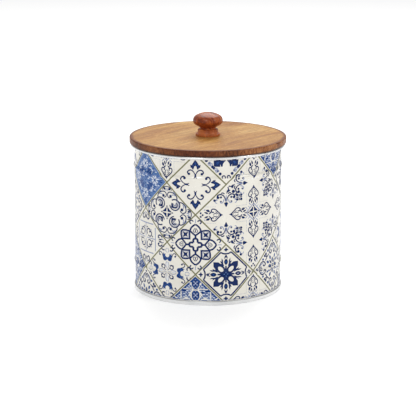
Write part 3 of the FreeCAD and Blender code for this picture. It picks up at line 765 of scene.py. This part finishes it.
def triangles_of(shapes, lines):
    """Triangles for each ink, where later shapes cover earlier ones and no triangle crosses a line."""
    points, faces, edges = [], [], []
    for _, outline in shapes:
        area = (outline.real * np.roll(outline, -1).imag - np.roll(outline, -1).real * outline.imag).sum()
        faces.append(list(range(len(points), len(points) + len(outline))))
        points.extend(outline if area > 0 else outline[::-1])
    for line in lines:
        edges.append((len(points), len(points) + 1))
        points.extend(line)
    flat = [Vector((point.real, point.imag)) for point in points]
    corners, _, triangles, _, _, owners = delaunay_2d_cdt(flat, edges, faces, 1, 1e-4)
    corners = np.array([complex(*corner) for corner in corners])
    found = {}
    for triangle, owner in zip(triangles, owners):
        ink = shapes[max(owner)][0] if owner else None
        if ink:
            found.setdefault(ink, []).append(triangle)
    return {ink: corners[np.array(group)] for ink, group in found.items()}


def cut_lines(left, right, foot, top):
    """Upright lines at the pitch and level lines at the wall's rows, within a window."""
    count = round((right - left) / LINE_PITCH)
    places = [left + LINE_PITCH * i for i in range(count + 1)]
    upright = [(complex(place, foot), complex(place, top)) for place in places]
    level = [(complex(left, row), complex(right, row)) for row in WALL_ROWS if foot < row < top]
    return upright + level


def printed(found, triangles, shift):
    """Add the triangles that lie within the printed area."""
    for ink, group in triangles.items():
        group = group + shift
        middle = group.mean(axis=1)
        keep = (middle.real > PRINT_LEFT) & (middle.real < PRINT_RIGHT)
        keep &= (middle.imag > PRINT_FOOT) & (middle.imag < PRINT_TOP)
        found.setdefault(ink, []).append(group[keep])


def grout_shapes():
    """Strips along the joints between tiles, and the thin line along the foot of the print."""
    def in_large(column, row):
        return any(abs(column - c) + abs(row - r) < 2 for c, r in LARGE_TILES)

    half = GROUT_WIDTH / 2 * math.sqrt(0.5)
    shapes = []
    for row in range(-1, 6):
        for column in range(-9, 10):
            if (row + column) % 2 == 0:
                continue
            start = complex(FIRST_ACROSS + TILE * column, FIRST_UP + TILE * row)
            for way in (-1, 1):
                # A joint is inside a large tile when its middle is.
                if in_large(column + way / 2, row + 0.5):
                    continue
                end = start + TILE * (way + 1j)
                across = half * (1 - way * 1j)
                shapes += patch(GROUT, start - across, start + across, end + across, end - across)
    low = PRINT_FOOT + 0.3
    ends = [complex(PRINT_LEFT, low), complex(PRINT_RIGHT, low)]
    return shapes + patch(MIST, *ends, *(end + 0.5j for end in ends[::-1]))


def tile_triangles(shapes, level, reach):
    """A tile's triangles about its own middle, cut along the wall's lines at its level."""
    lines = cut_lines(-reach, reach, level - reach, level + reach)
    return triangles_of(shapes, [tuple(point - 1j * level for point in line) for line in lines])


def print_triangles():
    """Every ink's triangles over the whole wall."""
    found = {}
    drawn = {letter: design() for letter, design in DESIGNS.items()}
    for row, letters in enumerate(TILE_ROWS):
        level = FIRST_UP + TILE * row
        used = sorted(set(letters) - {"*"})
        local = {letter: tile_triangles(drawn[letter], level, TILE) for letter in used}
        for index, letter in enumerate(letters):
            if letter in local:
                printed(found, local[letter], complex(FIRST_ACROSS + TILE * column_of(row, index), level))
    for column, row in LARGE_TILES:
        level = FIRST_UP + TILE * row
        local = tile_triangles(large_tile(), level, 2 * TILE)
        printed(found, local, complex(FIRST_ACROSS + TILE * column, level))
    joints = cut_lines(PRINT_LEFT, PRINT_RIGHT, -TILE, 6 * TILE)
    printed(found, triangles_of(grout_shapes(), joints), 0)
    return {ink: np.concatenate(groups) for ink, groups in found.items()}


# Print: meshes

ENAMEL_FOOT, ENAMEL_TOP = -0.12, 0.06
INK_FOOT, INK_TOP = 0.02, 0.09
COAT_BELOW, COAT_ABOVE, COAT_ASIDE = 0.4, 0.5, 0.8
COAT_COLUMNS = 256
# The varnish evens out the wall's slope over this distance up and down.
VARNISH_FILL = 0.8


def wall_reach(up):
    """The wall's outer radius at each level, in millimetres."""
    reach = np.full(up.shape, WALL_RADIUS)
    away = np.minimum(*(abs(up - level) for level in BEAD_LEVELS))
    bend = (BEAD_HALF**2 + BEAD_DEPTH**2) / (4 * BEAD_DEPTH)
    crown = away < BEAD_HALF / 2
    reach[crown] += BEAD_DEPTH - bend + np.sqrt(bend**2 - away[crown] ** 2)
    foot = (away >= BEAD_HALF / 2) & (away < BEAD_HALF)
    reach[foot] += bend - np.sqrt(bend**2 - (BEAD_HALF - away[foot]) ** 2)
    bend = (FLARE_HEIGHT**2 + FLARE_REACH**2) / (4 * FLARE_REACH)
    risen = up - FLARE_FOOT
    lower = (risen > 0) & (risen < FLARE_HEIGHT / 2)
    reach[lower] += bend - np.sqrt(bend**2 - risen[lower] ** 2)
    upper = risen >= FLARE_HEIGHT / 2
    reach[upper] += FLARE_REACH - bend + np.sqrt(bend**2 - (FLARE_HEIGHT - risen[upper]) ** 2)
    return reach


def on_wall(across, up, lift):
    """Points in metres, and outward normals, at a height above the wall's surface."""
    slope = (wall_reach(up + VARNISH_FILL) - wall_reach(up - VARNISH_FILL)) / (2 * VARNISH_FILL)
    angle = across / WALL_RADIUS
    outward = np.stack([np.sin(angle), -np.cos(angle), -slope], axis=1)
    outward /= np.linalg.norm(outward, axis=1)[:, None]
    reach = wall_reach(up) + lift
    points = np.stack([reach * np.sin(angle), -reach * np.cos(angle), up], axis=1)
    return points / 1000, outward


def wall_piece(name, corners, faces, foot, top, material):
    """A thin closed piece on the wall from a flat pattern: its outer face, its inner face and its rim."""
    count = len(corners)
    outer, outward = on_wall(corners.real, corners.imag, top)
    inner, _ = on_wall(corners.real, corners.imag, foot)
    edges = np.concatenate([faces[:, [0, 1]], faces[:, [1, 2]], faces[:, [2, 0]]])
    keys = np.sort(edges, axis=1)
    _, first, uses = np.unique(keys, axis=0, return_index=True, return_counts=True)
    start, end = edges[first[uses == 1]].T
    rim = [np.stack([end, start, start + count], 1), np.stack([end, start + count, end + count], 1)]
    every = np.concatenate([faces, faces[:, ::-1] + count, *rim])

    mesh = bpy.data.meshes.new(name)
    mesh.vertices.add(2 * count)
    mesh.vertices.foreach_set("co", np.concatenate([outer, inner]).ravel())
    mesh.loops.add(every.size)
    mesh.loops.foreach_set("vertex_index", every.ravel())
    mesh.polygons.add(len(every))
    mesh.polygons.foreach_set("loop_start", np.arange(0, every.size, 3))
    mesh.update(calc_edges=True)
    mesh.shade_smooth()
    mesh.normals_split_custom_set_from_vertices(np.concatenate([outward, -outward]).tolist())
    mesh.materials.append(material)
    piece = bpy.data.objects.new(name, mesh)
    bpy.context.scene.collection.objects.link(piece)
    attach(piece, "tin")
    return piece


def add_enamel():
    """The base coat, all round the wall but for a bare margin at the lock seam."""
    levels = np.unique([PRINT_FOOT - COAT_BELOW, *WALL_ROWS, *range(40, 110, 10), PRINT_TOP + COAT_ABOVE])
    across = np.linspace(PRINT_LEFT - COAT_ASIDE, PRINT_RIGHT + COAT_ASIDE, COAT_COLUMNS + 1)
    corners = (across[None, :] + 1j * levels[:, None]).ravel()
    low = (np.arange(len(levels) - 1)[:, None] * len(across) + np.arange(len(across) - 1)[None, :]).ravel()
    high = low + len(across)
    faces = np.concatenate([np.stack([low, low + 1, high + 1], 1), np.stack([low, high + 1, high], 1)])
    wall_piece("enamel", corners, faces, ENAMEL_FOOT, ENAMEL_TOP, enamel())


def add_print():
    """One piece for each ink, with whole triangles only."""
    for ink, triangles in print_triangles().items():
        points = np.round(triangles.ravel(), 4)
        corners, where = np.unique(points, return_inverse=True)
        faces = where.reshape(-1, 3)
        whole = (faces[:, 0] != faces[:, 1]) & (faces[:, 1] != faces[:, 2]) & (faces[:, 2] != faces[:, 0])
        wall_piece(f"ink_{ink}", corners, faces[whole], INK_FOOT, INK_TOP, ink_paint(ink))


add_camera()
add_world()
add_floor()
add_light("key", (-0.52, -1.62, 1.25), (0, 0, 0.09), 0.32, 7)
add_light("fill", (1.5, -0.8, 1.25), (0, 0, 0.09), 0.36, 6)
add_light("back", (0.1, 1.1, 1.5), (0, 0, 0.07), 1.2, 20)

paint("body_shell", tinplate("tin_wall"))
paint("base_plate", tinplate("bare_tinplate"))
paint("lid_board", board_wood())
paint("lid_plug", plain_wood())
paint("knob", knob_wood())
paint("seal_ring", silicone())
paint("knob_washer", steel("washer_steel"))
paint("knob_screw", steel("screw_steel"))
add_enamel()
add_print()
